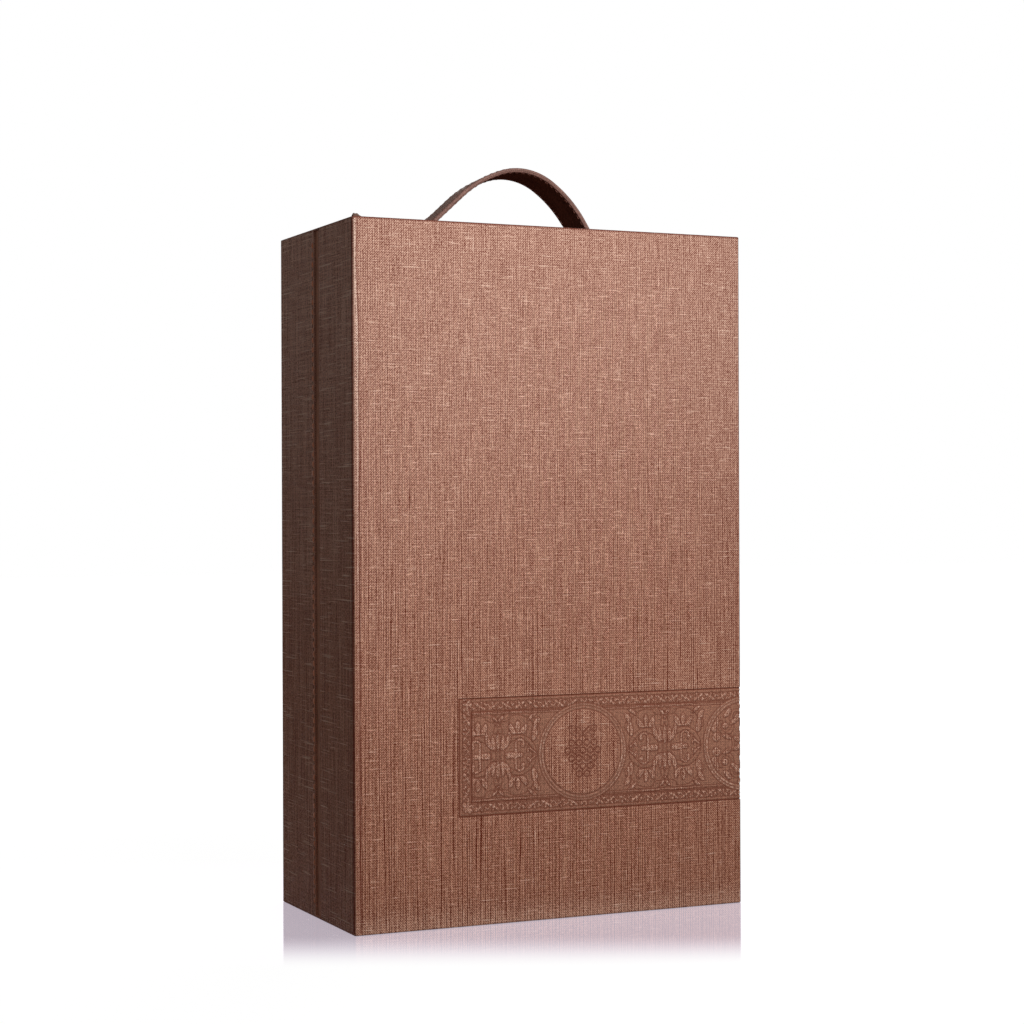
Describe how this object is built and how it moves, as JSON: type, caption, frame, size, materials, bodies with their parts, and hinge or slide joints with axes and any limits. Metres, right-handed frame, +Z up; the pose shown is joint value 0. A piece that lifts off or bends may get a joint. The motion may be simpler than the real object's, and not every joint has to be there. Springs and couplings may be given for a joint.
{
  "type": "two-bottle wine box",
  "caption": "Upright leatherette gift box for wine bottles: the front half swings on a leather hinge, with a strap handle on top and padded bottle troughs inside.",
  "frame": {"origin": "middle of the closed box's base, on the surface that it stands on", "axes": "+X to the box's right, +Y to the back, +Z up towards the handle"},
  "size_m": [0.22, 0.11, 0.3936],
  "materials": {
    "linen_leatherette": "pearly copper-brown leatherette with a pressed linen grain",
    "hinge_leather": "darker reddish-brown smooth leatherette",
    "strap_leather": "mauve-brown leatherette with a linen grain",
    "strap_core": "pressed fibre",
    "board": "raw fibreboard",
    "lining_fabric": "champagne woven fabric",
    "velvet": "champagne velvet",
    "satin": "champagne satin over foam",
    "foam": "open-cell foam",
    "card": "grey card",
    "thread": "waxed brown thread",
    "magnet": "nickel-plated magnet",
    "steel": "zinc-plated steel"
  },
  "bodies": {
    "tray": {"tray_panel_board": "board", "tray_hinge_side_board": "board", "tray_opening_side_board": "board", "tray_top_board": "board", "tray_bottom_board": "board", "tray_wrap_leather": "linen_leatherette", "tray_top_leather": "linen_leatherette", "tray_bottom_leather": "linen_leatherette", "tray_lining": "lining_fabric", "tray_magnets": "magnet", "bottle_bed_foam": "foam", "bottle_bed_velvet": "velvet", "neck_rest_foam": "foam", "neck_rest_velvet": "velvet", "base_pad": "velvet", "hinge_strip": "hinge_leather", "hinge_stitching": "thread", "handle_strap_outer": "strap_leather", "handle_core": "strap_core", "handle_strap_lining": "strap_leather", "handle_stitching": "thread", "handle_anchor_plates": "steel", "handle_screws": "steel"},
    "lid": {"lid_panel_board": "board", "lid_hinge_side_board": "board", "lid_opening_side_board": "board", "lid_top_board": "board", "lid_bottom_board": "board", "lid_wrap_leather": "linen_leatherette", "lid_top_leather": "linen_leatherette", "lid_bottom_leather": "linen_leatherette", "lid_lining": "lining_fabric", "lid_magnets": "magnet", "lid_pad_card": "card", "lid_pad": "satin"}
  },
  "joints": [
    {"name": "lid_swing", "type": "hinge", "parent": "tray", "child": "lid", "pos_m": [-0.1103, -0.00525, 0], "axis": [0, 0, -1], "range_deg": [0, 180], "deforming": ["hinge_strip"]}
  ]
}
